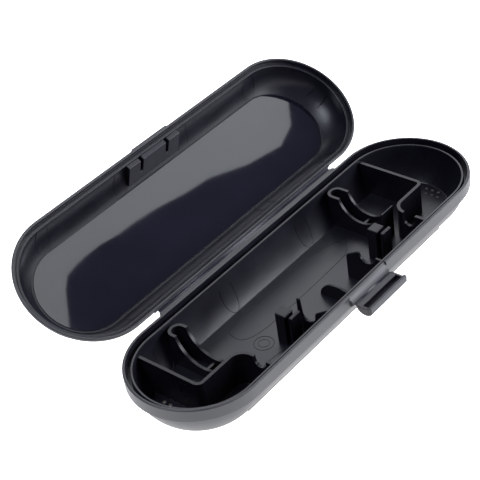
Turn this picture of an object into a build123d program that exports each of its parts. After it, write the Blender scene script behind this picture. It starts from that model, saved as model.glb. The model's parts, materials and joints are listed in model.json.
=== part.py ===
from build123d import *
import math
import os

os.makedirs("parts", exist_ok=True)

# A two-shell travel case for an electric toothbrush, moulded in polypropylene, in mm.
# X runs along the case, +Y points to the lid hinge, +Z up. The origin is the centre of the
# flat underside. The lid is drawn closed and then swung open to its resting angle.

# Long oval shared by both shells
STRAIGHT_HALF = 73.4
LID_STRAIGHT_HALF = 71.5
RIM_OUTER = 30.6
TONGUE_INNER = 26.4
TONGUE_OUTER = 27.7
GROOVE_OUTER = 29.3

# Heights in the base; most are set from the top of the tongue
TONGUE_TOP = 20.1
LAND_TOP = TONGUE_TOP + 2.0
RIM_BOTTOM = TONGUE_TOP - 5.0
GROOVE_BOTTOM = TONGUE_TOP - 4.0
RIM_SIDE_BOTTOM = TONGUE_TOP - 3.9
WALL_TOP = TONGUE_TOP - 1.5
FLOOR_TOP = 2.8
BASE_BOWL_RADIUS = 28.5
FOOT_HALF_WIDTH = 20.6
FOOT_HALF_LENGTH = 70.0
FOOT_HEIGHT = 1.4
FOOT_ROOT = (21.2, FOOT_HEIGHT + 0.9)
HULL_EDGE = (20.4, FOOT_HEIGHT)
HULL_MIDDLE = (25.9, TONGUE_TOP - 12.0)
HULL_TOP = 28.6
RIM_ROUND = 0.6
TONGUE_ROUND = 0.35
EDGE_ROUND = 0.5

# Walls that stand in the base
RIB = 1.5
LEFT_LEG_X = -83.0
RIGHT_LEG_X = 75.4
LEG_FRONT_Y = -8.4
LEFT_TRANSVERSE_X = -57.8
RIGHT_TRANSVERSE_X = 52.4
PLAN_ROUND = 6.5
CORNER_ROUND = 2.5
LEFT_NOTCH = dict(y=-19.6, radius=3.2, depth=4.4)
RIGHT_NOTCH = dict(y=-17.3, radius=3.1, depth=6.4)

CRADLE_WIDTH = 8.4
CRADLE_WALL = 1.4
CRADLE_FRONT_Y = -7.2
CRADLE_BACK_Y = 25.2
CRADLE_HANDLE_Y = 5.2
CRADLE_HANDLE_Z = TONGUE_TOP + 1.6
LEFT_CRADLE = dict(x=-62.3, handle_radius=14.2)
RIGHT_CRADLE = dict(x=49.8, handle_radius=12.3)
CRADLE_BRACE = 1.2
NEARLY_HALF = 0.49

CLIP_POST_LENGTH = 6.0
CLIP_POST_WIDTH = 5.2
CLIP_POST_Y = -9.7
CLIP_BAR_LENGTH = 6.6
CLIP_BAR_WIDTH = 1.6
CLIP_BAR_Y = -14.8
LEFT_CLIP_X = -30.0
RIGHT_CLIP_X = 36.6

LEFT_FORK_X = -20.0
RIGHT_FORK_X = 18.5
ARCH_X = 2.4
ARCH_Y = -13.3
ARCH_HALF_WIDTH = 9.8
ARCH_HEIGHT = 7.4

# Drain holes near each end of the floor
DRAIN_RADIUS = 0.8
DRAIN_PITCH = 3.3
LEFT_DRAIN = (-84.7, 5.4)
RIGHT_DRAIN = (89.4, -3.6)

# Lid, in its closed position
PARTING_GAP = 0.2
LID_WALL = 0.9
LID_BOWL_RADIUS = 16.73
LIP_BOTTOM = LAND_TOP + PARTING_GAP
LIP_OUTER = 31.5
LIP_INNER = 30.2
LEDGE_INNER = 28.0
LEDGE_OUTER = 29.3
LEDGE_HEIGHT = LIP_BOTTOM + 2.2
LID_GROOVE_TOP = LEDGE_HEIGHT + 0.3
LID_SIDE_TOP = LIP_BOTTOM + 1.4
LID_RIM_TOP = LEDGE_HEIGHT + 3.0
LID_FLOOR = LEDGE_HEIGHT + 13.0
END_TAPER = 2.0
DOME_STEPS = 4
PANEL_THICKNESS = 0.35
PANEL_MARGIN = 0.7

# Lid hinge: a thin film between two flanges
HINGE_Y = 32.6
HINGE_Z = LAND_TOP + PARTING_GAP / 2
HINGE_HALF_LENGTH = 61.5
FLANGE_EDGE_Y = 31.9
FLANGE_THICKNESS = 1.4
FILM_INNER = 0.45
FILM_OUTER = 0.9
FILM_END_ANGLE = 6.0
FILM_SHORT = 1.5
FILM_STEPS = 4
OPEN_ANGLE = 147.0

# Latch, hanging open; heights and depths are measured from its own film hinge
LATCH_X = 1.7
LATCH_Y = -32.8
LATCH_Z = TONGUE_TOP - 1.55
LATCH_HALF_WIDTH = 13.0
LATCH_FILM_HALF = 0.6
LATCH_FILM_HEIGHT = 0.8
LATCH_GROOVE_RADIUS = 0.4
LATCH_CHANNEL_NEAR = 3.3
LATCH_CHANNEL_FAR = 6.9
LATCH_CHANNEL_DEPTH = 2.2
LATCH_TIP = 8.3
LATCH_BARB = 0.9
LATCH_BELLY = 3.9
LATCH_BELLY_OUT = 5.1
LATCH_ROOT_THICKNESS = 0.9
LATCH_CHEEK = 1.1
SCOOP_TOP_Y = -29.5
SCOOP_SIDE_GAP = 0.4

# Keeper on the lid: an inner box with two slots and the outer bead the latch hooks over
KEEPER_HALF_WIDTH = 17.0
KEEPER_BOTTOM = LEDGE_HEIGHT + 0.5
KEEPER_TOP = LEDGE_HEIGHT + 11.0
KEEPER_RIM_Y = -25.8
KEEPER_DEEP_Y = -22.6
KEEPER_SLOT_X = 8.6
KEEPER_SLOT_WIDTH = 1.9
KEEPER_SLOT_TOP = LEDGE_HEIGHT + 7.2
BEAD_HALF_WIDTH = 11.4
BEAD_Y = -32.3
BEAD_BOTTOM = LIP_BOTTOM + 0.7
BEAD_TOP = LIP_BOTTOM + 2.8

BASE_BOWL_CENTRE = TONGUE_INNER - BASE_BOWL_RADIUS
LID_BOWL_CENTRE = LEDGE_INNER - LID_BOWL_RADIUS
LID_TOP = LID_FLOOR + LID_WALL


def base_inner(z):
    return BASE_BOWL_CENTRE + math.sqrt(BASE_BOWL_RADIUS**2 - (TONGUE_TOP - z) ** 2)


def lid_inner(z):
    return LID_BOWL_CENTRE + math.sqrt(LID_BOWL_RADIUS**2 - (z - LEDGE_HEIGHT) ** 2)


def lid_outer(z):
    radius = LID_BOWL_RADIUS + LID_WALL
    return LID_BOWL_CENTRE + math.sqrt(radius**2 - (z - LEDGE_HEIGHT) ** 2)


def face_of(*edges):
    """A face in the YZ plane from edges drawn as (distance from the centre line, height)."""
    return Plane.YZ * make_face(Curve() + list(edges))


def rim_corner(outer, start_height, end_height):
    """The rounded outer corner of either rim, from its level face to its upright side."""
    inset = RIM_ROUND * (1 - math.sin(math.pi / 4))
    down = (end_height - start_height) / RIM_ROUND
    return ThreePointArc(
        (outer - RIM_ROUND, start_height),
        (outer - inset, start_height + down * inset),
        (outer, end_height),
    )


def hinge_flange(rim, bottom):
    """One of the two narrow flanges that the lid film joins, standing out from a rim."""
    flange = box_between(
        (-HINGE_HALF_LENGTH, HINGE_HALF_LENGTH),
        (rim - RIM_ROUND, FLANGE_EDGE_Y),
        (bottom, bottom + FLANGE_THICKNESS),
    )
    corners = flange.edges().filter_by(Axis.Z).group_by(Axis.Y)[-1]
    return fillet(corners, (FLANGE_EDGE_Y - rim) * 0.9)


def around(profile, straight_half=STRAIGHT_HALF):
    """Carries a YZ profile round the long oval."""
    back = extrude(profile, straight_half, both=True)
    end = Pos(-straight_half, 0, 0) * revolve(profile, Axis.Z, 180)
    return back + mirror(back, Plane.XZ) + end + mirror(end, Plane.YZ)


def box_between(x, y, z):
    """A block from (low, high) pairs along each axis."""
    size = [pair[1] - pair[0] for pair in (x, y, z)]
    centre = [(pair[1] + pair[0]) / 2 for pair in (x, y, z)]
    return Pos(*centre) * Box(*size)


# Base shells
def base_bowl():
    """The hollow of the base, from the floor up to the foot of the rim."""
    middle = (FLOOR_TOP + RIM_BOTTOM) / 2
    floor_edge = (base_inner(FLOOR_TOP), FLOOR_TOP)
    rim_edge = (base_inner(RIM_BOTTOM), RIM_BOTTOM)
    wall = ThreePointArc(floor_edge, (base_inner(middle), middle), rim_edge)
    return around(face_of(wall, Polyline(rim_edge, (0, RIM_BOTTOM), (0, FLOOR_TOP), floor_edge)))


def foot():
    """The long flat foot under the middle of the tray, which stands a little below its ends."""
    half = face_of(Polyline((0, 0), (FOOT_HALF_WIDTH, 0), FOOT_ROOT, (0, FOOT_ROOT[1]), (0, 0)))
    side = extrude(half, FOOT_HALF_LENGTH, both=True)
    return side + mirror(side, Plane.XZ)


def base_tray():
    """The round-sided tray on its flat foot, with the drain holes near both ends."""
    top = (HULL_TOP, RIM_BOTTOM)
    hull = ThreePointArc(HULL_EDGE, HULL_MIDDLE, top)
    outline = Polyline(top, (0, RIM_BOTTOM), (0, FOOT_HEIGHT), HULL_EDGE)
    tray = around(face_of(hull, outline)) + foot() - base_bowl()
    for centre_x, centre_y in (LEFT_DRAIN, RIGHT_DRAIN):
        for column in (-1, 1):
            for row in range(4 if column < 0 else 3):
                x = centre_x + column * DRAIN_PITCH / 2
                y = centre_y + (row - (1.5 if column < 0 else 1.0)) * DRAIN_PITCH
                tray -= Pos(x, y, 0) * Cylinder(DRAIN_RADIUS, 2 * TONGUE_TOP)
    return tray


def base_rim():
    """The rim: an inner tongue, a groove and a higher outer wall with the root of the latch."""
    middle = (RIM_BOTTOM + TONGUE_TOP) / 2
    foot = (base_inner(RIM_BOTTOM), RIM_BOTTOM)
    inner = ThreePointArc(foot, (base_inner(middle), middle), (TONGUE_INNER, TONGUE_TOP))
    outline = Polyline(
        (TONGUE_INNER, TONGUE_TOP),
        (TONGUE_OUTER - TONGUE_ROUND, TONGUE_TOP),
        (TONGUE_OUTER, TONGUE_TOP - TONGUE_ROUND),
        (TONGUE_OUTER, GROOVE_BOTTOM),
        (GROOVE_OUTER, GROOVE_BOTTOM),
        (GROOVE_OUTER, LAND_TOP),
        (RIM_OUTER - RIM_ROUND, LAND_TOP),
    )
    corner = rim_corner(RIM_OUTER, LAND_TOP, LAND_TOP - RIM_ROUND)
    side = Polyline(
        (RIM_OUTER, LAND_TOP - RIM_ROUND),
        (RIM_OUTER, RIM_SIDE_BOTTOM),
        (HULL_TOP, RIM_BOTTOM),
        foot,
    )
    return around(face_of(inner, outline, corner, side)) + latch_root() - latch_scoop()


def latch_root():
    """The web that stands out from the front of the rim to carry the latch film."""
    edge = LATCH_Y + LATCH_FILM_HALF
    outline = Polyline(
        (-GROOVE_OUTER - RIM_ROUND, LAND_TOP - RIM_ROUND),
        (edge, LATCH_Z),
        (edge, LATCH_Z - LATCH_FILM_HEIGHT),
        (-RIM_OUTER, RIM_SIDE_BOTTOM),
        (-GROOVE_OUTER - RIM_ROUND, RIM_SIDE_BOTTOM),
        (-GROOVE_OUTER - RIM_ROUND, LAND_TOP - RIM_ROUND),
    )
    return Pos(LATCH_X, 0, 0) * extrude(face_of(outline), LATCH_HALF_WIDTH, both=True)


def latch_scoop():
    """The hollow that dishes the rim down to the latch film."""
    edge = (LATCH_Y + LATCH_FILM_HALF, LATCH_Z)
    drop = LAND_TOP - LATCH_Z
    dish = RadiusArc((SCOOP_TOP_Y, LAND_TOP), edge, drop * 1.5)
    rest = Polyline(
        edge,
        (edge[0] - drop, LATCH_Z),
        (edge[0] - drop, LAND_TOP + drop),
        (SCOOP_TOP_Y, LAND_TOP + drop),
        (SCOOP_TOP_Y, LAND_TOP),
    )
    half_width = LATCH_HALF_WIDTH + SCOOP_SIDE_GAP
    return Pos(LATCH_X, 0, 0) * extrude(face_of(dish, rest), half_width, both=True)


# Walls that stand in the base
def inside_base(raw):
    """Keeps the part of a wall that lies inside the bowl, above the floor and below the rim."""
    foot = (base_inner(RIM_BOTTOM), RIM_BOTTOM)
    upper = Polyline((0, RIM_BOTTOM), foot, (base_inner(WALL_TOP), WALL_TOP), (0, WALL_TOP), (0, RIM_BOTTOM))
    return raw & (base_bowl() + around(face_of(upper)))


def wall_along(path):
    """An upright rib that follows a plan path, from the floor to the common wall top."""
    height = WALL_TOP - FLOOR_TOP
    start = path @ 0
    plane = Plane(origin=(start.X, start.Y, FLOOR_TOP + height / 2), x_dir=(0, 0, 1), z_dir=path % 0)
    return sweep(plane * Rectangle(height, RIB), path)


def upright_plate(x, outline):
    """A rib across the case at x, from a closed outline of (y, height) points."""
    return inside_base(Pos(x, 0, 0) * extrude(face_of(outline), RIB / 2, both=True))


def end_partition(leg_x, transverse_x, notch):
    """The wall that closes one end of the handle bay, turns the corner and runs to the front."""
    path = FilletPolyline(
        (leg_x, RIM_OUTER),
        (leg_x, LEG_FRONT_Y),
        (transverse_x, LEG_FRONT_Y),
        (transverse_x, -RIM_OUTER),
        radius=(CORNER_ROUND, PLAN_ROUND),
    )
    wall = wall_along(path)
    low = WALL_TOP - notch["depth"] + notch["radius"]
    reach = (transverse_x - PLAN_ROUND, transverse_x + PLAN_ROUND)
    across = (notch["y"] - notch["radius"], notch["y"] + notch["radius"])
    round_cut = Pos(transverse_x, notch["y"], low) * Rot(0, 90, 0) * Cylinder(notch["radius"], 2 * PLAN_ROUND)
    return inside_base(wall - round_cut - box_between(reach, across, (low, TONGUE_TOP)))


def handle_cradle(x, handle_radius):
    """A narrow loop of wall with a dished top that the handle lies in."""
    length = CRADLE_BACK_Y - CRADLE_FRONT_Y
    height = WALL_TOP - FLOOR_TOP
    middle = (CRADLE_BACK_Y + CRADLE_FRONT_Y) / 2

    def loop(width, grow):
        block = Pos(x, middle, FLOOR_TOP + height / 2) * Box(width, length + 2 * grow, height)
        back = block.edges().filter_by(Axis.Z).group_by(Axis.Y)[-1]
        return fillet(back, width * NEARLY_HALF)

    wall = loop(CRADLE_WIDTH, 0) - loop(CRADLE_WIDTH - 2 * CRADLE_WALL, -CRADLE_WALL)
    brace_top = CRADLE_HANDLE_Z - handle_radius - CRADLE_WALL
    inner = CRADLE_WIDTH / 2 - CRADLE_WALL
    wall += box_between(
        (x - inner, x + inner),
        (CRADLE_HANDLE_Y - CRADLE_BRACE / 2, CRADLE_HANDLE_Y + CRADLE_BRACE / 2),
        (FLOOR_TOP, brace_top),
    )
    handle = Pos(x, CRADLE_HANDLE_Y, CRADLE_HANDLE_Z) * Rot(0, 90, 0) * Cylinder(handle_radius, 2 * CRADLE_WIDTH)
    return inside_base(wall - handle)


def head_post(x):
    """The square post of the pair that pinches the foot of a spare head."""
    post = box_between(
        (x - CLIP_POST_LENGTH / 2, x + CLIP_POST_LENGTH / 2),
        (CLIP_POST_Y - CLIP_POST_WIDTH / 2, CLIP_POST_Y + CLIP_POST_WIDTH / 2),
        (FLOOR_TOP, WALL_TOP),
    )
    return fillet(post.edges().filter_by(Axis.Z), EDGE_ROUND)


def head_bar(x):
    """The thin bar that faces the post across a narrow gap."""
    centre = x + (CLIP_BAR_LENGTH - CLIP_POST_LENGTH)
    bar = box_between(
        (centre - CLIP_BAR_LENGTH / 2, centre + CLIP_BAR_LENGTH / 2),
        (CLIP_BAR_Y - CLIP_BAR_WIDTH / 2, CLIP_BAR_Y + CLIP_BAR_WIDTH / 2),
        (FLOOR_TOP, WALL_TOP),
    )
    return fillet(bar.edges().filter_by(Axis.Z), EDGE_ROUND)


def left_fork():
    """A rib with one slim prong, a deep notch for the neck of a spare head and a step."""
    prong_back, prong_front = -8.9, -10.4
    notch_y, notch_radius, notch_bottom = -14.6, 3.5, TONGUE_TOP - 12.0
    shoulder_y, shoulder_z, wall_z = -18.4, TONGUE_TOP - 6.3, TONGUE_TOP - 2.1
    outline = Polyline(
        (prong_back, FLOOR_TOP),
        (prong_back, WALL_TOP),
        (prong_front, WALL_TOP),
        (notch_y + notch_radius, notch_bottom + notch_radius),
        (notch_y - notch_radius, notch_bottom + notch_radius),
        (shoulder_y, shoulder_z),
        (-TONGUE_INNER + 2, wall_z),
        (-RIM_OUTER, wall_z),
        (-RIM_OUTER, FLOOR_TOP),
        (prong_back, FLOOR_TOP),
    )
    notch = Pos(LEFT_FORK_X, notch_y, notch_bottom + notch_radius) * Rot(0, 90, 0) * Cylinder(notch_radius, 4 * RIB)
    return upright_plate(LEFT_FORK_X, outline) - notch


def right_fork():
    """A rib with a sloping shoulder and a shallow notch beside the front wall."""
    back, back_top = -6.8, TONGUE_TOP - 5.3
    peak_y, notch_y, notch_radius = -13.3, -18.1, 4.3
    outline = Polyline(
        (back, FLOOR_TOP),
        (back, back_top),
        (peak_y, WALL_TOP),
        (-RIM_OUTER, WALL_TOP),
        (-RIM_OUTER, FLOOR_TOP),
        (back, FLOOR_TOP),
    )
    notch = Pos(RIGHT_FORK_X, notch_y, WALL_TOP) * Rot(0, 90, 0) * Cylinder(notch_radius, 4 * RIB)
    return upright_plate(RIGHT_FORK_X, outline) - notch


def centre_arch():
    """A low rounded stop between the two spare-head bays."""
    oval = Pos(ARCH_Y, FLOOR_TOP) * Ellipse(ARCH_HALF_WIDTH, ARCH_HEIGHT)
    plate = extrude(Plane.YZ * oval, RIB / 2, both=True)
    return inside_base(Pos(ARCH_X, 0, 0) * plate)


# Lid parts, drawn closed
def open_lid(shape):
    """Swings a closed lid part about the hinge to the angle it rests at."""
    return Pos(0, HINGE_Y, HINGE_Z) * Rot(-OPEN_ANGLE, 0, 0) * Pos(0, -HINGE_Y, -HINGE_Z) * shape


def lid_inner_wall():
    """The inner face of the lid from its ledge to where the dome begins."""
    middle = (LEDGE_HEIGHT + LID_RIM_TOP) / 2
    return ThreePointArc(
        (LEDGE_INNER, LEDGE_HEIGHT),
        (lid_inner(middle), middle),
        (lid_inner(LID_RIM_TOP), LID_RIM_TOP),
    )


def lid_rim():
    """The lid rim: an outer lip that meets the base and, past a groove, an inner ledge."""
    outline = Polyline(
        (lid_inner(LID_RIM_TOP), LID_RIM_TOP),
        (lid_outer(LID_RIM_TOP), LID_RIM_TOP),
        (LIP_OUTER, LID_SIDE_TOP),
        (LIP_OUTER, LIP_BOTTOM + RIM_ROUND),
    )
    corner = rim_corner(LIP_OUTER, LIP_BOTTOM, LIP_BOTTOM + RIM_ROUND)
    underside = Polyline(
        (LIP_OUTER - RIM_ROUND, LIP_BOTTOM),
        (LIP_INNER, LIP_BOTTOM),
        (LIP_INNER, LID_GROOVE_TOP),
        (LEDGE_OUTER, LID_GROOVE_TOP),
        (LEDGE_OUTER, LEDGE_HEIGHT),
        (LEDGE_INNER, LEDGE_HEIGHT),
    )
    return around(face_of(lid_inner_wall(), outline, corner, underside), LID_STRAIGHT_HALF)


def tapered_oval(radius, lean, z):
    """The long oval at one height of the lid; its ends draw in as the wall leans over."""
    start = (LID_RIM_TOP - LEDGE_HEIGHT) / LID_BOWL_RADIUS
    finish = (LID_FLOOR - LEDGE_HEIGHT) / LID_BOWL_RADIUS
    draw_in = END_TAPER * max(0, (lean - start) / (finish - start)) ** 2
    return Pos(0, 0, z) * SlotCenterToCenter(2 * (LID_STRAIGHT_HALF - draw_in), 2 * radius)


def lid_dome(profile, ball_radius, top):
    """A lofted dome from the rim up to the given height."""
    sections = []
    for step in range(DOME_STEPS + 1):
        z = LID_RIM_TOP + (top - LID_RIM_TOP) * step / DOME_STEPS
        sections.append(tapered_oval(profile(z), (z - LEDGE_HEIGHT) / ball_radius, z))
    return loft(sections)


def lid_cover():
    """The domed top of the lid with its flat roof."""
    dome = lid_dome(lid_outer, LID_BOWL_RADIUS + LID_WALL, LID_TOP)
    return dome - lid_dome(lid_inner, LID_BOWL_RADIUS, LID_FLOOR)


def lid_panel():
    """The glossy sheet that lines the flat roof of the lid."""
    radius = lid_inner(LID_FLOOR) - PANEL_MARGIN
    length = 2 * (LID_STRAIGHT_HALF - END_TAPER)
    oval = Pos(0, 0, LID_FLOOR - PANEL_THICKNESS) * SlotCenterToCenter(length, 2 * radius)
    return extrude(oval, PANEL_THICKNESS)


def lid_bowl():
    """The space inside the closed lid, above its ledge."""
    rest = Polyline(
        (lid_inner(LID_RIM_TOP), LID_RIM_TOP),
        (0, LID_RIM_TOP),
        (0, LEDGE_HEIGHT),
        (LEDGE_INNER, LEDGE_HEIGHT),
    )
    return around(face_of(lid_inner_wall(), rest), LID_STRAIGHT_HALF) + lid_dome(lid_inner, LID_BOWL_RADIUS, LID_FLOOR)


def keeper_box():
    """The box that bulges in behind the latch, with two slots across its rim."""
    outline = Polyline(
        (-LEDGE_OUTER, KEEPER_BOTTOM),
        (KEEPER_RIM_Y, KEEPER_BOTTOM),
        (KEEPER_DEEP_Y, KEEPER_TOP),
        (-LEDGE_OUTER, KEEPER_TOP),
        (-LEDGE_OUTER, KEEPER_BOTTOM),
    )
    box = extrude(face_of(outline), KEEPER_HALF_WIDTH, both=True)
    for side in (-1, 1):
        centre = side * KEEPER_SLOT_X
        box -= box_between(
            (centre - KEEPER_SLOT_WIDTH / 2, centre + KEEPER_SLOT_WIDTH / 2),
            (-LEDGE_OUTER, 0),
            (LEDGE_HEIGHT, KEEPER_SLOT_TOP),
        )
    return box & lid_bowl()


def keeper_bead():
    """The bead on the outside of the lid rim that the latch snaps over."""
    bar = box_between(
        (LATCH_X - BEAD_HALF_WIDTH, LATCH_X + BEAD_HALF_WIDTH),
        (BEAD_Y, -LIP_INNER - PARTING_GAP / 2),
        (BEAD_BOTTOM, BEAD_TOP),
    )
    front = bar.edges().filter_by(Axis.X).group_by(Axis.Y)[0]
    return fillet(front, EDGE_ROUND) - lid_rim()


# Living hinges
def lid_film():
    """A half-pipe of thin plastic round the hinge axis, from the base flange to the lid flange."""
    length = 2 * (HINGE_HALF_LENGTH - FILM_SHORT)
    pipe = Cylinder(FILM_OUTER, length) - Cylinder(FILM_INNER, length)
    pipe = Pos(0, HINGE_Y, HINGE_Z) * Rot(0, 90, 0) * pipe
    reach = 3 * FILM_OUTER
    first = math.radians(180 + FILM_END_ANGLE)
    last = math.radians(540 - OPEN_ANGLE - FILM_END_ANGLE)
    corners = [(HINGE_Y, HINGE_Z)]
    for step in range(FILM_STEPS + 1):
        angle = first + (last - first) * step / FILM_STEPS
        corners.append((HINGE_Y + reach * math.cos(angle), HINGE_Z + reach * math.sin(angle)))
    wedge = extrude(face_of(Polyline(*corners, corners[0])), length, both=True)
    base_side = box_between((-length, length), (RIM_OUTER, FLANGE_EDGE_Y), (0, LAND_TOP))
    lid_side = open_lid(box_between((-length, length), (LIP_INNER, FLANGE_EDGE_Y), (LIP_BOTTOM, LID_TOP)))
    return (pipe & wedge) - base_side - lid_side


def latch_point(out, up):
    """A (y, z) point from its distance out from the latch hinge and its height above it."""
    return (LATCH_Y - out, LATCH_Z + up)


def latch_film():
    """The thin strip the latch bends at, with a groove along its upper face."""
    half_width = LATCH_HALF_WIDTH - EDGE_ROUND
    block = box_between(
        (LATCH_X - half_width, LATCH_X + half_width),
        (LATCH_Y - LATCH_FILM_HALF, LATCH_Y + LATCH_FILM_HALF),
        (LATCH_Z - LATCH_FILM_HEIGHT, LATCH_Z),
    )
    groove = Pos(0, LATCH_Y, LATCH_Z) * Rot(0, 90, 0) * Cylinder(LATCH_GROOVE_RADIUS, 4 * LATCH_HALF_WIDTH)
    return block - groove


def latch_body():
    """The whole latch as one block: flat inner face, raised barb at the tip, bellied outer face."""
    outline = Polyline(
        latch_point(LATCH_FILM_HALF, -LATCH_ROOT_THICKNESS),
        latch_point(LATCH_FILM_HALF, 0),
        latch_point(LATCH_CHANNEL_FAR, 0),
        latch_point(LATCH_CHANNEL_FAR, LATCH_BARB),
        latch_point(LATCH_TIP - EDGE_ROUND, LATCH_BARB),
        latch_point(LATCH_TIP, LATCH_BARB - EDGE_ROUND),
        latch_point(LATCH_TIP, -LATCH_CHANNEL_DEPTH),
    )
    belly = ThreePointArc(
        latch_point(LATCH_TIP, -LATCH_CHANNEL_DEPTH),
        latch_point(LATCH_BELLY_OUT, -LATCH_BELLY),
        latch_point(LATCH_FILM_HALF, -LATCH_ROOT_THICKNESS),
    )
    return Pos(LATCH_X, 0, 0) * extrude(face_of(outline, belly), LATCH_HALF_WIDTH, both=True)


def beyond_channel():
    """The block of space that holds the outer lip of the latch."""
    return box_between(
        (LATCH_X - LATCH_HALF_WIDTH, LATCH_X + LATCH_HALF_WIDTH),
        (LATCH_Y - 2 * LATCH_TIP, LATCH_Y - LATCH_CHANNEL_FAR),
        (LATCH_Z - 2 * LATCH_BELLY, LATCH_Z + LATCH_BELLY),
    )


def latch_plate():
    """The finger pad and the channel that takes the keeper bead."""
    inner = LATCH_HALF_WIDTH - LATCH_CHEEK
    channel = box_between(
        (LATCH_X - inner, LATCH_X + inner),
        (LATCH_Y - LATCH_CHANNEL_FAR, LATCH_Y - LATCH_CHANNEL_NEAR),
        (LATCH_Z - LATCH_CHANNEL_DEPTH, LATCH_Z + LATCH_BELLY),
    )
    return latch_body() - channel - beyond_channel()


def latch_hook():
    """The lip along the free edge that catches behind the bead."""
    return latch_body() & beyond_channel()


nodes = {
    "base_tray": base_tray(),
    "base_rim": base_rim(),
    "base_hinge_flange": hinge_flange(RIM_OUTER, LAND_TOP - FLANGE_THICKNESS) - base_rim(),
    "left_end_partition": end_partition(LEFT_LEG_X, LEFT_TRANSVERSE_X, LEFT_NOTCH),
    "right_end_partition": end_partition(RIGHT_LEG_X, RIGHT_TRANSVERSE_X, RIGHT_NOTCH),
    "left_handle_cradle": handle_cradle(**LEFT_CRADLE),
    "right_handle_cradle": handle_cradle(**RIGHT_CRADLE),
    "left_head_post": head_post(LEFT_CLIP_X),
    "left_head_bar": head_bar(LEFT_CLIP_X),
    "right_head_post": head_post(RIGHT_CLIP_X),
    "right_head_bar": head_bar(RIGHT_CLIP_X),
    "left_neck_fork": left_fork(),
    "right_neck_fork": right_fork(),
    "centre_arch": centre_arch(),
    "latch_film": latch_film(),
    "latch_plate": latch_plate(),
    "latch_hook": latch_hook(),
    "lid_film": lid_film(),
    "lid_hinge_flange": open_lid(hinge_flange(LIP_OUTER, LIP_BOTTOM) - lid_rim()),
    "lid_rim": open_lid(lid_rim()),
    "lid_cover": open_lid(lid_cover()),
    "lid_panel": open_lid(lid_panel()),
    "lid_keeper_box": open_lid(keeper_box()),
    "lid_keeper_bead": open_lid(keeper_bead()),
}

for name, shape in nodes.items():
    export_step(shape, os.path.join("parts", name + ".step"))
    print(name, "volume", round(shape.volume, 1), "solids", len(shape.solids()))
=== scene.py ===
import json
import math
import bmesh
import bpy
from mathutils import Matrix, Vector

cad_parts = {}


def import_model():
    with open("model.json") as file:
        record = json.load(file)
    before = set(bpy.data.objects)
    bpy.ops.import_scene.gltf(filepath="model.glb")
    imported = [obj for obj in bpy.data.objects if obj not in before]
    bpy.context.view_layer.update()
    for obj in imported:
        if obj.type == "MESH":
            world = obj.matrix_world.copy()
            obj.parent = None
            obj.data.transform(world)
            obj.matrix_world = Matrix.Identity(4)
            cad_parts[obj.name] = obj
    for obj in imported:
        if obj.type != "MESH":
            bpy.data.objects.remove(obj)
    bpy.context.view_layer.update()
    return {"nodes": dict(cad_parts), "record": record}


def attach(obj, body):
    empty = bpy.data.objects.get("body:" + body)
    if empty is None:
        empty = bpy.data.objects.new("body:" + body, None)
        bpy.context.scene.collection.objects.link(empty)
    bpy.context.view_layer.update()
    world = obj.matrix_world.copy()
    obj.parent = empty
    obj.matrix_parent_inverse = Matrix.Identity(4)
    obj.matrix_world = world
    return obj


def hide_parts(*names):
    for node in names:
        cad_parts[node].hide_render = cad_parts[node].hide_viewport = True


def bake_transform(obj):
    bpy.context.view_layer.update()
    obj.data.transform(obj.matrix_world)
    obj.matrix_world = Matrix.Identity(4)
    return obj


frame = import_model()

MM = 0.001
NEARLY_HALF = 0.49

# Studio, in metres and degrees
FLOOR_REACH = 6.0
FLOOR_DROP = 0.0001
FLOOR_GLOW = 1.6
CARD_DISTANCE = 1.5
CARD_GLOW = 2.0
CARD_FADE = 0.35
PANEL_CENTRE = (0.0, 0.061, 0.020)
PANEL_MIRRORS = (0.576, -0.288, 0.765)
SKY_COLOUR = (0.64, 0.69, 1.0)
SKY_GLOW = 0.2
CAMERA_PLACE = (-0.351, -0.310, 0.3838)
CAMERA_TURN = -44.7
CAMERA_RISE = 34.98
CAMERA_ROLL = -9.41
CAMERA_LENS = 102.8
CAMERA_SHIFT = (0.0323, -0.0723)
GLOW_CLOUD_SCALE = 2.2
GLOW_CLOUD_SPAN = (0.35, 0.65)

# Plastic: where its noise turns from low to high, and its moulded grain in metres
PLASTIC_IOR = 1.5
TINT_SPAN = (0.35, 0.7)
GLOSS_SPAN = (0.3, 0.7)
GRAIN_SCALE = 2600.0
GRAIN_DEPTH = 0.0002

# Long oval shared by both shells, in millimetres as in the CAD model
STRAIGHT_HALF = 73.4
LID_STRAIGHT_HALF = 71.5
RIM_OUTER = 30.6
TONGUE_INNER = 26.5
TONGUE_OUTER = 27.6
GROOVE_OUTER = 29.3
TONGUE_TOP = 20.1
LAND_TOP = TONGUE_TOP + 2.0
RIM_BOTTOM = TONGUE_TOP - 5.0
GROOVE_BOTTOM = TONGUE_TOP - 4.0
RIM_SIDE_BOTTOM = TONGUE_TOP - 3.9
WALL_TOP = TONGUE_TOP - 1.5
FLOOR_TOP = 2.8
BASE_BOWL_RADIUS = 28.5
BASE_BOWL_CENTRE = -2.1
FOOT_HALF_WIDTH = 20.6
FOOT_HALF_LENGTH = 70.0
FOOT_HEIGHT = 1.4
FOOT_ROOT = (21.2, FOOT_HEIGHT + 0.9)
HULL_EDGE = (20.4, FOOT_HEIGHT)
HULL_MIDDLE = (25.9, TONGUE_TOP - 12.0)
HULL_TOP = 28.6
HULL_STEPS = 16
WALL_STEPS = 30

# Rounds of the base outline, in millimetres
TONGUE_ROUND = 0.3
GROOVE_ROUND = 0.1
RIM_INNER_ROUND = 0.2
RIM_TOP_ROUND = 0.7
RIM_LOWER_ROUND = 0.3
HULL_EDGE_ROUND = 1.0
FLOOR_ROUND = 0.8

# Where swept outlines of the base start, measured from the centre line
SPINE = 2.0

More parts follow.
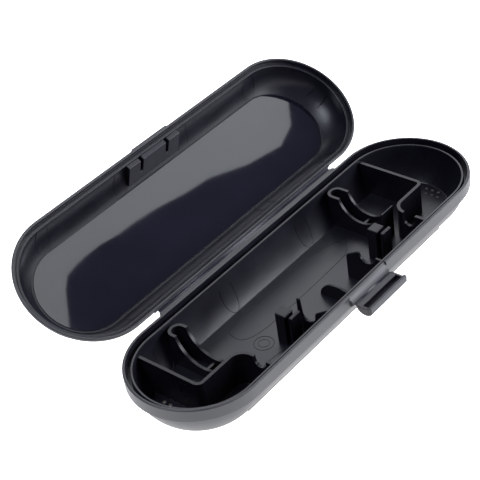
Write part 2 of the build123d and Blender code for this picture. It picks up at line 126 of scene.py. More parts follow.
# Lid, measured closed
PARTING_GAP = 0.2
LID_WALL = 0.9
LID_BOWL_RADIUS = 16.73
LIP_BOTTOM = LAND_TOP + PARTING_GAP
LIP_OUTER = 31.5
LIP_INNER = 30.2
LEDGE_INNER = 28.0
LEDGE_OUTER = 29.3
LEDGE_HEIGHT = LIP_BOTTOM + 2.2
LID_GROOVE_TOP = LEDGE_HEIGHT + 0.3
LID_SIDE_TOP = LIP_BOTTOM + 1.4
LID_RIM_TOP = LEDGE_HEIGHT + 3.0
LID_FLOOR = LEDGE_HEIGHT + 13.0
LID_TOP = LID_FLOOR + LID_WALL
END_TAPER = 2.0
ROOF_SPINE = 18.0
LIP_ROUNDS = (0.3, 0.25, 0.1, 0.1, 0.25, 0.6, 0.5)
LID_BOWL_CENTRE = LEDGE_INNER - LID_BOWL_RADIUS

# Glossy sheet in the roof of the lid
PANEL_SPINE = 8.0
PANEL_THICKNESS = 0.35
PANEL_MARGIN = 0.7
PANEL_SEAT = 0.05
PANEL_ROUND = 0.25

# Hinge of the lid, with its film between two flanges
HINGE_Y = 32.6
HINGE_Z = LAND_TOP + PARTING_GAP / 2
HINGE_HALF_LENGTH = 61.5
FILM_INNER = 0.45
FILM_OUTER = 0.9
FILM_SHORT = 1.5
FILM_STEPS = 24
FILM_OVERLAP = 6.0
OPEN_ANGLE = 147.0

# Latch, hanging open
LATCH_X = 1.7
LATCH_Y = -32.8
LATCH_Z = TONGUE_TOP - 1.55
LATCH_HALF_WIDTH = 13.0
LATCH_FILM_HALF = 0.6
LATCH_FILM_HEIGHT = 0.8
LATCH_FILM_SHORT = 0.5
LATCH_FILM_STEPS = 8
LATCH_GROOVE_RADIUS = 0.4
SCOOP_TOP_Y = -29.5
SCOOP_SIDE_GAP = 0.4
SCOOP_SAG = 0.42
WEB_DROP = 0.8
WEB_REACH = 0.5

# Fine detail
FLOOR_LINE = 0.22
FLOOR_RING = (-36.9, -2.4)
WALL_BEVEL = 0.6
TRIM_BEVEL = 0.2
SHARP_ANGLE = 27.0
BEVEL_ANGLE = 40.0

# Drain holes near each end of the floor
DRAIN_RADIUS = 0.8
DRAIN_PITCH = 3.3
LEFT_DRAIN = (-84.7, 5.4)
RIGHT_DRAIN = (89.4, -3.6)

# Ejector pin marks on the sloping walls, with the lid closed
PIN_RADIUS = 4.0
PIN_LINE = 0.3
PIN_STOP = 1.5
BASE_PINS = [(-70.1, 24.6), (-26.6, 24.6), (27.2, 24.6), (98.0, 0.8)]
LID_PINS = [
    (-69.7, -25.4), (-21.0, -25.0), (21.5, -25.0), (71.2, -25.4),
    (95.3, -0.7), (27.7, 24.4), (72.0, 25.4), (-70.3, 24.6),
]


# ---------------------------------------------------------------- shapes of the two shells
def base_inner(z):
    """How far the hollow of the base reaches out at a height."""
    return BASE_BOWL_CENTRE + math.sqrt(BASE_BOWL_RADIUS**2 - (TONGUE_TOP - z) ** 2)


def hull_points():
    """The outer side of the base as an arc through its lower edge, middle and top."""
    middle, top = HULL_MIDDLE, (HULL_TOP, RIM_BOTTOM)
    centre = arc_centre(HULL_EDGE, middle, top)
    first = Vector(HULL_EDGE) - centre
    turn = first.angle_signed(Vector(top) - centre)
    return turned_points(centre, first, turn, HULL_STEPS)


def turned_points(centre, first, turn, steps):
    """Points on an arc, from a first spoke turned about its centre."""
    points = []
    for step in range(steps + 1):
        spoke = Matrix.Rotation(-turn * step / steps, 2) @ first
        points.append(tuple(centre + spoke))
    return points


def arc_centre(first, second, third):
    """The centre of the circle through three points."""
    a, b, c = Vector(first), Vector(second), Vector(third)
    twist = 2 * (a.x * (b.y - c.y) + b.x * (c.y - a.y) + c.x * (a.y - b.y))
    squares = [point.length_squared for point in (a, b, c)]
    x = (squares[0] * (b.y - c.y) + squares[1] * (c.y - a.y) + squares[2] * (a.y - b.y)) / twist
    y = (squares[0] * (c.x - b.x) + squares[1] * (a.x - c.x) + squares[2] * (b.x - a.x)) / twist
    return Vector((x, y))


def lid_side(z, wall=0.0):
    """How far the closed lid's side reaches out at a height, inside or past its wall."""
    radius = LID_BOWL_RADIUS + wall
    return LID_BOWL_CENTRE + math.sqrt(radius**2 - (z - LEDGE_HEIGHT) ** 2)


def draw_in(z, wall=0.0):
    """How much the straight run of the lid shortens at each end at a height."""
    ball = LID_BOWL_RADIUS + wall
    lean = (z - LEDGE_HEIGHT) / ball
    start = (LID_RIM_TOP - LEDGE_HEIGHT) / LID_BOWL_RADIUS
    finish = (LID_FLOOR - LEDGE_HEIGHT) / LID_BOWL_RADIUS
    return END_TAPER * max(0.0, (lean - start) / (finish - start)) ** 2


# ---------------------------------------------------------------- mesh helpers
def to_object(name, bm, material, body=None):
    """A linked object from a finished mesh with its material; a piece of the case also gets a body."""
    mesh = bpy.data.meshes.new(name)
    bm.to_mesh(mesh)
    bm.free()
    piece = bpy.data.objects.new(name, mesh)
    bpy.context.scene.collection.objects.link(piece)
    for polygon in mesh.polygons:
        polygon.use_smooth = True
    mesh.materials.append(material)
    if body:
        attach(piece, body)
    return piece


def weighted_normals(piece):
    """Keeps broad faces evenly shaded beside narrow rounds."""
    piece.data.set_sharp_from_angle(angle=math.radians(SHARP_ANGLE))
    modifier = piece.modifiers.new("even_shading", "WEIGHTED_NORMAL")
    modifier.keep_sharp = True
    modifier.weight = 90
    return piece


def rounded(points, radii, steps=4):
    """A closed outline whose corners are replaced by short arcs."""
    result = []
    count = len(points)
    for index, (point, radius) in enumerate(zip(points, radii)):
        here = Vector(point)
        if radius == 0:
            result.append(tuple(here))
            continue
        before = Vector(points[index - 1]) - here
        after = Vector(points[(index + 1) % count]) - here
        half = before.angle(after) / 2
        cut = min(radius / math.tan(half), before.length * NEARLY_HALF, after.length * NEARLY_HALF)
        radius = cut * math.tan(half)
        first = here + before.normalized() * cut
        last = here + after.normalized() * cut
        inward = (before.normalized() + after.normalized()).normalized()
        centre = here + inward * (radius / math.sin(half))
        turn = (first - centre).angle_signed(last - centre)
        result += turned_points(centre, first - centre, turn, steps)
    return result


def arc_points(profile, low, high, steps):
    """Points of a wall profile between two heights, both ends included."""
    heights = [low + (high - low) * step / steps for step in range(steps + 1)]
    return [(profile(z), z) for z in heights]


def oval_path(end_steps=48, straight_steps=48):
    """(share of the straight run, outward x, outward y) for each stop round the oval."""
    stops = []
    for step in range(straight_steps):
        share = 1 - 2 * step / straight_steps
        stops.append((share, 0.0, 1.0))
    for step in range(end_steps):
        angle = math.pi / 2 + math.pi * step / end_steps
        stops.append((-1.0, math.cos(angle), math.sin(angle)))
    for step in range(straight_steps):
        share = -1 + 2 * step / straight_steps
        stops.append((share, 0.0, -1.0))
    for step in range(end_steps):
        angle = -math.pi / 2 + math.pi * step / end_steps
        stops.append((1.0, math.cos(angle), math.sin(angle)))
    return stops


def sweep_oval(bm, profile, straight_half, shorten=None):
    """Sweeps (distance, height) points round the oval; returns the rings of vertices."""
    rings = []
    stops = oval_path()
    for index, (distance, height) in enumerate(profile):
        half = straight_half - (shorten[index] if shorten else 0.0)
        ring = []
        for share, out_x, out_y in stops:
            place = Vector((share * half + out_x * distance, out_y * distance, height))
            ring.append(bm.verts.new(place * MM))
        rings.append(ring)
    for lower, upper in zip(rings, rings[1:]):
        for index in range(len(stops)):
            after = (index + 1) % len(stops)
            bm.faces.new((lower[index], lower[after], upper[after], upper[index]))
    return rings


def close_oval(bm, profile, straight_half, shorten=None):
    """A closed solid from an outline that starts and ends near the middle of the oval."""
    rings = sweep_oval(bm, profile, straight_half, shorten)
    bm.faces.new(list(reversed(rings[0])))
    bm.faces.new(rings[-1])
    bmesh.ops.recalc_face_normals(bm, faces=bm.faces)


def open_lid_matrix():
    """Swings the closed lid open to its resting angle."""
    hinge = Vector((0, HINGE_Y, HINGE_Z)) * MM
    turn = Matrix.Rotation(math.radians(-OPEN_ANGLE), 4, "X")
    return Matrix.Translation(hinge) @ turn @ Matrix.Translation(-hinge)


# ---------------------------------------------------------------- materials
def plastic(name, dark, light, roughness, grain=0.02, blotch=55.0, shine=0.5):
    """Moulded black plastic with a cloudy tint, an uneven gloss and a fine grain."""
    material = bpy.data.materials.new(name)
    material.use_nodes = True
    nodes = material.node_tree.nodes
    links = material.node_tree.links
    shader = nodes["Principled BSDF"]
    place = nodes.new("ShaderNodeTexCoord")
    clouds = nodes.new("ShaderNodeTexNoise")
    clouds.inputs["Scale"].default_value = blotch
    clouds.inputs["Detail"].default_value = 5.0
    tint = nodes.new("ShaderNodeValToRGB")
    tint.color_ramp.elements[0].position = TINT_SPAN[0]
    tint.color_ramp.elements[0].color = (*dark, 1)
    tint.color_ramp.elements[1].position = TINT_SPAN[1]
    tint.color_ramp.elements[1].color = (*light, 1)
    gloss = nodes.new("ShaderNodeMapRange")
    gloss.inputs["From Min"].default_value = GLOSS_SPAN[0]
    gloss.inputs["From Max"].default_value = GLOSS_SPAN[1]
    gloss.inputs["To Min"].default_value = roughness[0]
    gloss.inputs["To Max"].default_value = roughness[1]
    fine = nodes.new("ShaderNodeTexNoise")
    fine.inputs["Scale"].default_value = GRAIN_SCALE
    fine.inputs["Detail"].default_value = 3.0
    bump = nodes.new("ShaderNodeBump")
    bump.inputs["Strength"].default_value = grain
    bump.inputs["Distance"].default_value = GRAIN_DEPTH
    links.new(place.outputs["Object"], clouds.inputs["Vector"])
    links.new(place.outputs["Object"], fine.inputs["Vector"])
    links.new(clouds.outputs["Fac"], tint.inputs["Fac"])
    links.new(tint.outputs["Color"], shader.inputs["Base Color"])
    links.new(clouds.outputs["Fac"], gloss.inputs["Value"])
    links.new(gloss.outputs["Result"], shader.inputs["Roughness"])
    links.new(fine.outputs["Fac"], bump.inputs["Height"])
    links.new(bump.outputs["Normal"], shader.inputs["Normal"])
    shader.inputs["IOR"].default_value = PLASTIC_IOR
    shader.inputs["Specular IOR Level"].default_value = shine
    return material


INSIDE = plastic(
    "black_satin_inside", (0.005, 0.005, 0.008), (0.009, 0.009, 0.014), (0.28, 0.38), grain=0.05, shine=0.34)
WALLS = plastic(
    "black_satin_walls", (0.004, 0.004, 0.006), (0.007, 0.007, 0.010), (0.26, 0.36), grain=0.05, shine=0.22)
OUTSIDE = plastic(
    "black_grained_outside", (0.016, 0.016, 0.018), (0.026, 0.026, 0.028), (0.40, 0.50), grain=0.25)
FILM = plastic(
    "flexed_film", (0.022, 0.022, 0.028), (0.04, 0.04, 0.05), (0.2, 0.3), grain=0.05)
PANEL = plastic(
    "mirror_black_panel", (0.005, 0.005, 0.009), (0.008, 0.008, 0.014), (0.02, 0.035), grain=0.0, blotch=30.0)


# ---------------------------------------------------------------- base shell
def swept_tool(name, profile):
    """A solid carried round the base's oval."""
    bm = bmesh.new()
    close_oval(bm, profile, STRAIGHT_HALF)
    return to_object(name, bm, INSIDE)


def outer_outline():
    """The outside of the base: tongue, groove, land, upright side and rounded hull."""
    hull = hull_points()
    corners = [
        (SPINE, TONGUE_TOP), (TONGUE_OUTER, TONGUE_TOP), (TONGUE_OUTER, GROOVE_BOTTOM),
        (GROOVE_OUTER, GROOVE_BOTTOM), (GROOVE_OUTER, LAND_TOP), (RIM_OUTER, LAND_TOP),
        (RIM_OUTER, RIM_SIDE_BOTTOM), *reversed(hull), (SPINE, FOOT_HEIGHT),
    ]
    radii = [0, TONGUE_ROUND, GROOVE_ROUND, GROOVE_ROUND, RIM_INNER_ROUND, RIM_TOP_ROUND, RIM_LOWER_ROUND]
    radii += [0] * (len(hull) - 1) + [HULL_EDGE_ROUND, 0]
    return rounded(corners, radii)


def hollow_outline():
    """The inside of the base, carried on upwards past the top of the tongue."""
    wall = arc_points(base_inner, TONGUE_TOP - 0.5, FLOOR_TOP, WALL_STEPS)[1:-1]
    above = TONGUE_TOP + 1.0
    corners = [
        (SPINE, FLOOR_TOP), (base_inner(FLOOR_TOP), FLOOR_TOP), *reversed(wall),
        (TONGUE_INNER, TONGUE_TOP - 0.3), (TONGUE_INNER + 0.1, TONGUE_TOP - 0.1),
        (TONGUE_INNER + 0.3, TONGUE_TOP), (TONGUE_INNER + 0.3, above), (SPINE, above),
    ]
    return rounded(corners, [0, FLOOR_ROUND] + [0] * (len(wall) + 5))


def base_shell():
    """The tray and its rim as one moulding: an outer solid with the hollow cut out of it."""
    shell = swept_tool("base_shell", outer_outline())
    outline = [(FOOT_HALF_WIDTH, 0.0), FOOT_ROOT]
    outline += [(-y, z) for y, z in reversed(outline)]
    combine(shell, prism("foot_tool", outline, FOOT_HALF_LENGTH, 0.0), "UNION")
    combine(shell, swept_tool("hollow_tool", hollow_outline()), "DIFFERENCE")
    return shell


def prism(name, outline, half_width, centre_x=LATCH_X, material=INSIDE):
    """A solid along X from a closed outline of (y, height) points, in millimetres."""
    bm = bmesh.new()
    ends = []
    for side in (-half_width, half_width):
        ends.append([bm.verts.new(Vector((centre_x + side, y, z)) * MM) for y, z in outline])
    bm.faces.new(ends[0])
    bm.faces.new(list(reversed(ends[1])))
    for index in range(len(outline)):
        after = (index + 1) % len(outline)
        bm.faces.new((ends[0][index], ends[1][index], ends[1][after], ends[0][after]))
    bmesh.ops.recalc_face_normals(bm, faces=bm.faces)
    return to_object(name, bm, material)


def combine(piece, tool, operation):
    """Adds or cuts away a tool solid, then removes the tool."""
    change = piece.modifiers.new(operation.lower(), "BOOLEAN")
    change.operation = operation
    change.solver = "EXACT"
    change.object = tool
    apply_modifiers(piece)
    bpy.data.objects.remove(tool)


def dish_points(start, end, sag, steps=14):
    """Points along a hollow arc from start to end that dips sag below the chord."""
    start, end = Vector(start), Vector(end)
    chord = end - start
    normal = Vector((chord.y, -chord.x)).normalized()
    if normal.y > 0:
        normal = -normal
    radius = (chord.length / 2) ** 2 / (2 * sag) + sag / 2
    centre = (start + end) / 2 - normal * (radius - sag)
    first = start - centre
    return turned_points(centre, first, first.angle_signed(end - centre), steps)


def latch_root(piece):
    """Adds the web that carries the latch film and dishes the rim down to it."""
    edge = (LATCH_Y + LATCH_FILM_HALF, LATCH_Z)
    inner = -GROOVE_OUTER - WEB_REACH
    web = [
        (inner, LAND_TOP - WEB_DROP), edge, (edge[0], LATCH_Z - LATCH_FILM_HEIGHT),
        (-RIM_OUTER, RIM_SIDE_BOTTOM), (inner, RIM_SIDE_BOTTOM),
    ]
    combine(piece, prism("root_tool", web, LATCH_HALF_WIDTH), "UNION")
    drop = LAND_TOP - LATCH_Z
    beyond, above = edge[0] - drop, LAND_TOP + drop
    scoop = dish_points((SCOOP_TOP_Y, LAND_TOP), edge, SCOOP_SAG)
    scoop += [(beyond, LATCH_Z), (beyond, above), (SCOOP_TOP_Y, above)]
    combine(piece, prism("scoop_tool", scoop, LATCH_HALF_WIDTH + SCOOP_SIDE_GAP), "DIFFERENCE")


def drain_holes():
    """The plan centres of a row of four and a row of three holes near each end."""
    centres = []
    for centre_x, centre_y in (LEFT_DRAIN, RIGHT_DRAIN):
        for side, count in ((-1, 4), (1, 3)):
            for row in range(count):
                x = centre_x + side * DRAIN_PITCH / 2
                y = centre_y + (row - (count - 1) / 2) * DRAIN_PITCH
                centres.append((x, y))
    return centres


def drill(piece):
    """Cuts the drain holes through the floor."""
    bm = bmesh.new()
    for x, y in drain_holes():
        bmesh.ops.create_cone(
            bm, cap_ends=True, segments=24, radius1=DRAIN_RADIUS * MM, radius2=DRAIN_RADIUS * MM,
            depth=2 * WALL_TOP * MM, matrix=Matrix.Translation(Vector((x, y, 0)) * MM),
        )
    combine(piece, to_object("drill_tool", bm, INSIDE), "DIFFERENCE")


def apply_modifiers(piece):
    """Bakes the modifiers of a piece into its mesh."""
    depsgraph = bpy.context.evaluated_depsgraph_get()
    mesh = bpy.data.meshes.new_from_object(piece.evaluated_get(depsgraph))
    piece.modifiers.clear()
    piece.data = mesh


# ---------------------------------------------------------------- lid
def lid_outline():
    """The section of the closed lid, with how much each point draws in at the ends."""
    inner_low = arc_points(lid_side, LEDGE_HEIGHT, LID_RIM_TOP, 6)[1:-1]
    inner_high = arc_points(lid_side, LID_RIM_TOP, LID_FLOOR, 14)
    outer_high = arc_points(lambda z: lid_side(z, LID_WALL), LID_RIM_TOP, LID_TOP, 14)
    lip = [
        (LEDGE_INNER, LEDGE_HEIGHT), (LEDGE_OUTER, LEDGE_HEIGHT), (LEDGE_OUTER, LID_GROOVE_TOP),
        (LIP_INNER, LID_GROOVE_TOP), (LIP_INNER, LIP_BOTTOM), (LIP_OUTER, LIP_BOTTOM),
        (LIP_OUTER, LID_SIDE_TOP),
    ]
    inside = [(ROOF_SPINE, LID_FLOOR), *reversed(inner_high), *reversed(inner_low)]
    outside = [*outer_high, (ROOF_SPINE, LID_TOP)]
    radii = [0.0] * len(inside) + list(LIP_ROUNDS) + [0.0] * len(outside)
    profile = rounded(inside + lip + outside, radii)
    rim_start = len(inside) - len(inner_low)
    rim_end = len(profile) - len(outside)
    shorten = []
    for index, (_, height) in enumerate(profile):
        if index < rim_start:
            shorten.append(draw_in(height))
        elif index < rim_end:
            shorten.append(0.0)
        else:
            shorten.append(draw_in(height, LID_WALL))
    return profile, shorten


def open_solid(name, profile, shorten, material, slot):
    """A piece of the lid from its closed section, swung open."""
    bm = bmesh.new()
    close_oval(bm, profile, LID_STRAIGHT_HALF, shorten)
    bmesh.ops.transform(bm, matrix=open_lid_matrix(), verts=bm.verts)
    return to_object(name, bm, material, "lid")


def lid_shell():
    """The domed lid with its lip and skirt as one moulding."""
    return open_solid("lid_shell", *lid_outline(), INSIDE, "black_shell")


def lid_panel():
    """The glossy sheet set into the roof of the lid."""
    radius = lid_side(LID_FLOOR) - PANEL_MARGIN
    bottom, top = LID_FLOOR - PANEL_THICKNESS, LID_FLOOR + PANEL_SEAT
    corners = [(PANEL_SPINE, bottom), (radius, bottom), (radius, top), (PANEL_SPINE, top)]
    profile = rounded(corners, [0, PANEL_ROUND, 0, 0], 5)
    return open_solid("mirror_panel", profile, [END_TAPER] * len(profile), PANEL, "gloss_panel")


# ---------------------------------------------------------------- living hinges
def lid_film():
    """The half pipe of thin plastic between the two flanges."""
    first = math.radians(180 + FILM_OVERLAP)
    last = math.radians(540 - OPEN_ANGLE - FILM_OVERLAP)
    turns = [first + (last - first) * step / FILM_STEPS for step in range(FILM_STEPS + 1)]
    outline = []
    for radius, order in ((FILM_OUTER, 1), (FILM_INNER, -1)):
        for turn in turns[::order]:
            outline.append((HINGE_Y + radius * math.cos(turn), HINGE_Z + radius * math.sin(turn)))
    return prism("lid_film_strip", outline, HINGE_HALF_LENGTH - FILM_SHORT, 0.0, FILM)


def latch_film():
    """The thin strip the latch bends at, with a groove along its upper face."""
    near, far = LATCH_Y + LATCH_FILM_HALF, LATCH_Y - LATCH_FILM_HALF
    under = LATCH_Z - LATCH_FILM_HEIGHT
    outline = [(far, LATCH_Z)]
    for step in range(LATCH_FILM_STEPS + 1):
        outline.append((far + (near - far) * step / LATCH_FILM_STEPS, under))
    outline.append((near, LATCH_Z))
    for step in range(LATCH_FILM_STEPS + 1):
        turn = math.pi * step / LATCH_FILM_STEPS
        y = LATCH_Y + LATCH_GROOVE_RADIUS * math.cos(turn)
        outline.append((y, LATCH_Z - LATCH_GROOVE_RADIUS * math.sin(turn)))
    return prism("latch_film_strip", outline, LATCH_HALF_WIDTH - LATCH_FILM_SHORT, material=FILM)


# ---------------------------------------------------------------- surface detail
def paint_outside(piece, material, is_outside):
    """Gives the faces that pass the test the material of the grained outer surface."""
    piece.data.materials.append(material)
    index = len(piece.data.materials) - 1
    for polygon in piece.data.polygons:
        if is_outside(Vector(polygon.center) / MM, polygon.normal):
            polygon.material_index = index


def oval_distance(x, y, straight_half):
    """How far a plan point lies from the straight middle line of an oval."""
    return math.hypot(max(abs(x) - straight_half, 0.0), y)


def outside_of_base(place, normal):
    """Whether a face of the base shell, placed in millimetres, is on its outer surface."""
    distance = oval_distance(place.x, place.y, STRAIGHT_HALF)
    if place.z > GROOVE_BOTTOM:
        return distance > GROOVE_OUTER + 0.1
    past_wall = place.z > FLOOR_TOP and distance > base_inner(place.z) + 1.0
    return past_wall or place.z < FOOT_HEIGHT + 0.01 or normal.z < -0.2


def outside_of_lid(place, normal):
    """Whether a face of the open lid, placed in millimetres, is on its outer surface."""
    closed = open_lid_matrix().inverted() @ (place * MM) / MM
    distance = oval_distance(closed.x, closed.y, LID_STRAIGHT_HALF - draw_in(min(closed.z, LID_FLOOR)))
    if closed.z > LID_FLOOR + 0.3:
        return True
    if closed.z > LID_GROOVE_TOP + 0.1:
        return distance > lid_side(closed.z) + 0.5
    return distance > LIP_INNER + 0.1


def raised_line(name, points, body, width, material, closed=True):
    """A fine moulded line that follows a list of points given in millimetres."""
    curve = bpy.data.curves.new(name, "CURVE")
    curve.dimensions = "3D"
    curve.bevel_depth = width * MM / 2
    curve.bevel_resolution = 2
    spline = curve.splines.new("POLY")
    spline.points.add(len(points) - 1)
    spline.use_cyclic_u = closed
    for knot, point in zip(spline.points, points):
        knot.co = (*(Vector(point) * MM), 1)
    shape = bpy.data.objects.new(name + "_curve", curve)
    bpy.context.scene.collection.objects.link(shape)
    depsgraph = bpy.context.evaluated_depsgraph_get()
    mesh = bpy.data.meshes.new_from_object(shape.evaluated_get(depsgraph))
    bpy.data.objects.remove(shape)
    mesh.materials.clear()
    mesh.materials.append(material)
    line = bpy.data.objects.new(name, mesh)
    bpy.context.scene.collection.objects.link(line)
    for polygon in mesh.polygons:
        polygon.use_smooth = True
    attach(line, body)
    return line


def floor_line(name, outline, width=FLOOR_LINE):
    """A moulded outline on the floor of the base."""
    points = [(x, y, FLOOR_TOP + 0.01) for x, y in outline]
    return raised_line(name, points, "base", width, WALLS)


def smooth_path(corners):
    """Rounds a closed outline by chopping its corners a few times."""
    points = [Vector(corner) for corner in corners]
    for _ in range(3):
        rounded_points = []
        for index, point in enumerate(points):
            after = points[(index + 1) % len(points)]
            rounded_points += [point.lerp(after, 0.25), point.lerp(after, 0.75)]
        points = rounded_points
    return [tuple(point) for point in points]


def ring(centre_x, centre_y, radius, steps=40):
    """Plan points round a circle."""
    turns = [2 * math.pi * step / steps for step in range(steps)]
    return [(centre_x + radius * math.cos(turn), centre_y + radius * math.sin(turn)) for turn in turns]


def base_surface(x, y):
    """The height of the hollow's inner face over a plan point."""
    lean = max(oval_distance(x, y, STRAIGHT_HALF) - BASE_BOWL_CENTRE, 0.0)
    drop = math.sqrt(max(BASE_BOWL_RADIUS**2 - lean**2, 0.0))
    return max(TONGUE_TOP - drop, FLOOR_TOP)


def lid_surface(x, y):
    """The height of the closed lid's inner face over a plan point."""
    lean = max(oval_distance(x, y, LID_STRAIGHT_HALF - END_TAPER / 2) - LID_BOWL_CENTRE, 0.0)
    rise = math.sqrt(max(LID_BOWL_RADIUS**2 - lean**2, 0.0))
    return min(LEDGE_HEIGHT + rise, LID_FLOOR)


def kept_arc(points, keeps):
    """The part of a ring that passes a test, in one run from end to end."""
    if all(keeps(point) for point in points):
        return points + points[:1]
    first = 0
    for index, point in enumerate(points):
        if keeps(point) and not keeps(points[index - 1]):
            first = index
    turned = points[first:] + points[:first]
    return [point for point in turned if keeps(point)]


def pin_marks():
    """The round marks that ejector pins leave where they meet the sloping walls."""
    for number, (x, y) in enumerate(BASE_PINS):
        mark = [(px, py, base_surface(px, py)) for px, py in ring(x, y, PIN_RADIUS)]
        mark = kept_arc(mark, lambda point: point[2] < WALL_TOP)
        raised_line(f"base_pin_mark_{number}", mark, "base", PIN_LINE, INSIDE, closed=False)
    swing = open_lid_matrix()
    for number, (x, y) in enumerate(LID_PINS):
        mark = [(px, py, lid_surface(px, py)) for px, py in ring(x, y, PIN_RADIUS)]
        mark = kept_arc(mark, lambda point: point[2] > LEDGE_HEIGHT + PIN_STOP)
        mark = [tuple((swing @ (Vector(point) * MM)) / MM) for point in mark]
        raised_line(f"lid_pin_mark_{number}", mark, "lid", PIN_LINE, INSIDE, closed=False)


def floor_marks():
    """The outline of a handle, three spare heads and a plain ring, moulded into the floor."""
    handle = [
        (-40.7, 15.8), (-33.3, 16.0), (16.7, 17.0), (34.5, 13.7), (36.5, 9.8), (44.0, 9.4), (44.0, 8.6),
        (36.5, 8.4), (35.1, 6.4), (32.3, 4.0), (26.6, 2.9), (-4.9, 2.3), (-40.8, 2.9),
    ]
    left_head = [(-79.0, -13.0), (-71.0, -9.6), (-60.0, -9.6), (-59.4, -18.0), (-79.0, -18.0)]
    middle_head = [(-55.0, -17.5), (-54.0, -11.0), (-34.5, -11.5), (-34.5, -17.5)]
    right_head = [(20.5, -17.5), (21.0, -10.5), (33.0, -11.5), (33.0, -17.5)]
    floor_line("handle_outline", smooth_path(handle))
    floor_line("floor_ring", ring(*FLOOR_RING, 4.4), 0.25)
    floor_line("floor_ring_inner", ring(*FLOOR_RING, 2.4), 0.2)
    floor_line("left_head_outline", smooth_path(left_head))
    floor_line("middle_head_outline", smooth_path(middle_head))
    floor_line("right_head_outline", smooth_path(right_head))


# ---------------------------------------------------------------- parts refined from the CAD nodes
def refined(node, width, material, segments):
    """A CAD node's own shape with rounded edges and even shading."""
    source = frame["nodes"][node]
    bm = bmesh.new()
    bm.from_mesh(source.data)
    bmesh.ops.remove_doubles(bm, verts=bm.verts, dist=2e-6)
    bmesh.ops.dissolve_limit(bm, angle_limit=math.radians(0.4), verts=bm.verts, edges=bm.edges)
    bmesh.ops.recalc_face_normals(bm, faces=bm.faces)
    piece = to_object(node + "_moulded", bm, material, frame_body(node))
    soften = piece.modifiers.new("soft_edges", "BEVEL")
    soften.width = width * MM
    soften.segments = segments
    soften.limit_method = "ANGLE"
    soften.angle_limit = math.radians(BEVEL_ANGLE)
    soften.harden_normals = False
    weighted_normals(piece)
    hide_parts(node)
    return piece


def frame_body(node):
    """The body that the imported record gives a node."""
    for body, members in frame["record"]["behaviour"]["bodies"].items():
        if node in members:
            return body


shell = base_shell()
drill(shell)
latch_root(shell)
weighted_normals(shell)
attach(shell, "base")
paint_outside(shell, OUTSIDE, outside_of_base)
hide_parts("base_tray", "base_rim")
lid = weighted_normals(lid_shell())
paint_outside(lid, OUTSIDE, outside_of_lid)
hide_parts("lid_rim", "lid_cover")
panel = weighted_normals(lid_panel())
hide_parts("lid_panel")

for node in (
    "left_end_partition", "right_end_partition", "left_handle_cradle", "right_handle_cradle",
    "left_head_post", "left_head_bar", "right_head_post", "right_head_bar",
    "left_neck_fork", "right_neck_fork", "centre_arch",
):
    refined(node, WALL_BEVEL, WALLS, 5)
for node in (
    "latch_plate", "latch_hook", "lid_keeper_box", "lid_keeper_bead",
    "base_hinge_flange", "lid_hinge_flange",
):
    refined(node, TRIM_BEVEL, INSIDE, 3)

pin_marks()
floor_marks()

film = lid_film()
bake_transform(film)
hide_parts("lid_film")
bend = latch_film()
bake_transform(bend)
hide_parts("latch_film")


# ---------------------------------------------------------------- stage
def glowing(name, colour, strength, fade=0.0):
    """A studio surface that gives off light, evenly or with soft darker clouds."""
    material = bpy.data.materials.new(name)
    material.use_nodes = True
    shader = material.node_tree.nodes["Principled BSDF"]
    shader.inputs["Base Color"].default_value = (0.9, 0.9, 0.9, 1)
    shader.inputs["Roughness"].default_value = 0.9
    shader.inputs["Emission Color"].default_value = (*colour, 1)
    shader.inputs["Emission Strength"].default_value = strength
    if fade:
        nodes, links = material.node_tree.nodes, material.node_tree.links
        place = nodes.new("ShaderNodeTexCoord")
        clouds = nodes.new("ShaderNodeTexNoise")
        clouds.inputs["Scale"].default_value = GLOW_CLOUD_SCALE
        level = nodes.new("ShaderNodeMapRange")
        level.inputs["From Min"].default_value = GLOW_CLOUD_SPAN[0]
        level.inputs["From Max"].default_value = GLOW_CLOUD_SPAN[1]
        level.inputs["To Min"].default_value = strength * (1 - fade)
        level.inputs["To Max"].default_value = strength
        links.new(place.outputs["Object"], clouds.inputs["Vector"])
        links.new(clouds.outputs["Fac"], level.inputs["Value"])
        links.new(level.outputs["Result"], shader.inputs["Emission Strength"])
    return material


def stage_sheet(name, corners, material):
    """A flat studio surface from its corner points in metres."""
    bm = bmesh.new()
    bm.faces.new([bm.verts.new(corner) for corner in corners])
    mesh = bpy.data.meshes.new(name)
    bm.to_mesh(mesh)
    bm.free()
    mesh.materials.append(material)
    sheet = bpy.data.objects.new(name, mesh)
    bpy.context.scene.collection.objects.link(sheet)
    return sheet


def floor():
    """The white ground, just under the case."""
    signs = ((-1, -1), (1, -1), (1, 1), (-1, 1))
    corners = [(x * FLOOR_REACH, y * FLOOR_REACH, -FLOOR_DROP) for x, y in signs]
    stage_sheet("floor", corners, glowing("lit_white_floor", (1.0, 1.0, 0.99), FLOOR_GLOW))


def reflector_card():
    """A pale card with a wavy edge, seen only as the reflection on the mirror panel."""
    towards = Vector(PANEL_MIRRORS).normalized()
    across = Vector((0, 0, 1)).cross(towards).normalized()
    upward = towards.cross(across)
    centre = Vector(PANEL_CENTRE) + towards * CARD_DISTANCE
    outline = [
        (-0.6, 0.262), (-0.1, 0.249), (-0.078, 0.244), (-0.062, 0.228), (-0.05, 0.212), (-0.036, 0.19),
        (-0.022, 0.158), (-0.006, 0.131), (0.012, 0.095), (0.03, 0.05), (0.05, 0.01), (0.065, -0.052),
        (0.088, -0.105), (0.118, -0.124), (0.6, -0.135), (0.6, 0.9), (-0.6, 0.9),
    ]
    corners = [centre + across * side + upward * rise for side, rise in outline]
    card = stage_sheet("reflector_card", corners, glowing("card", (0.88, 0.95, 1.0), CARD_GLOW, CARD_FADE))
    card.visible_camera = False
    card.visible_diffuse = False
    card.visible_shadow = False


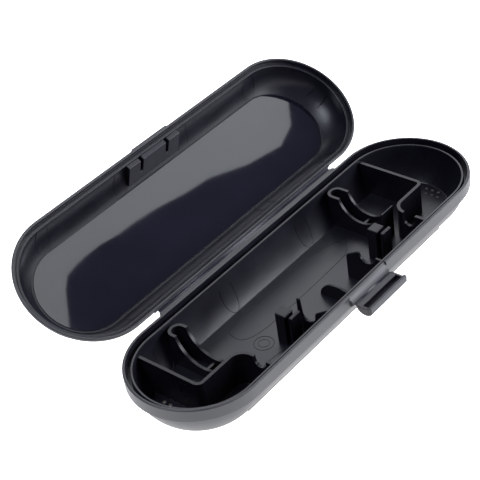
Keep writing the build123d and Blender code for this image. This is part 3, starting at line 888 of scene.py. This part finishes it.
def area_light(name, place, target, size, power, colour):
    """A soft rectangular light that points at a target."""
    data = bpy.data.lights.new(name, "AREA")
    data.shape = "RECTANGLE"
    data.size, data.size_y = size
    data.energy = power
    data.color = colour
    lamp = bpy.data.objects.new(name, data)
    bpy.context.scene.collection.objects.link(lamp)
    lamp.location = place
    lamp.rotation_euler = (Vector(target) - Vector(place)).to_track_quat("-Z", "Y").to_euler()
    return lamp


def world():
    """The dim bluish room round the case."""
    surroundings = bpy.data.worlds.new("studio")
    bpy.context.scene.world = surroundings
    surroundings.use_nodes = True
    background = surroundings.node_tree.nodes["Background"]
    background.inputs["Color"].default_value = (*SKY_COLOUR, 1)
    background.inputs["Strength"].default_value = SKY_GLOW


def camera():
    """Looks down at the case from its front left, a little tilted."""
    data = bpy.data.cameras.new("camera")
    data.lens = CAMERA_LENS
    data.sensor_width = 36.0
    data.shift_x, data.shift_y = CAMERA_SHIFT
    data.clip_start = 0.01
    data.clip_end = 50.0
    eye = bpy.data.objects.new("camera", data)
    bpy.context.scene.collection.objects.link(eye)
    turn, rise, roll = (math.radians(angle) for angle in (CAMERA_TURN, CAMERA_RISE, CAMERA_ROLL))
    back = Vector((math.sin(turn) * math.cos(rise), -math.cos(turn) * math.cos(rise), math.sin(rise)))
    right = Vector((math.cos(turn), math.sin(turn), 0))
    up = back.cross(right)
    tilted_right = math.cos(roll) * right + math.sin(roll) * up
    tilted_up = -math.sin(roll) * right + math.cos(roll) * up
    place = Matrix((tilted_right, tilted_up, back)).transposed().to_4x4()
    place.translation = CAMERA_PLACE
    eye.matrix_world = place
    bpy.context.scene.camera = eye


floor()
reflector_card()
world()
area_light(
    "back", place=(0.69, 0.70, 0.69), target=(0, 0, 0), size=(1.0, 1.0), power=8.5, colour=(0.95, 0.97, 1.0))
area_light(
    "front", place=(0.66, -0.92, 0.42), target=(0, 0, 0), size=(1.0, 0.6), power=20.0,
    colour=(0.90, 0.93, 1.0))
area_light(
    "above", place=(-0.50, 0.20, 0.90), target=(0.09, 0.08, 0.03), size=(0.4, 0.4), power=6.5,
    colour=(0.84, 0.88, 1.0))
camera()
bpy.context.scene.view_settings.view_transform = "Standard"
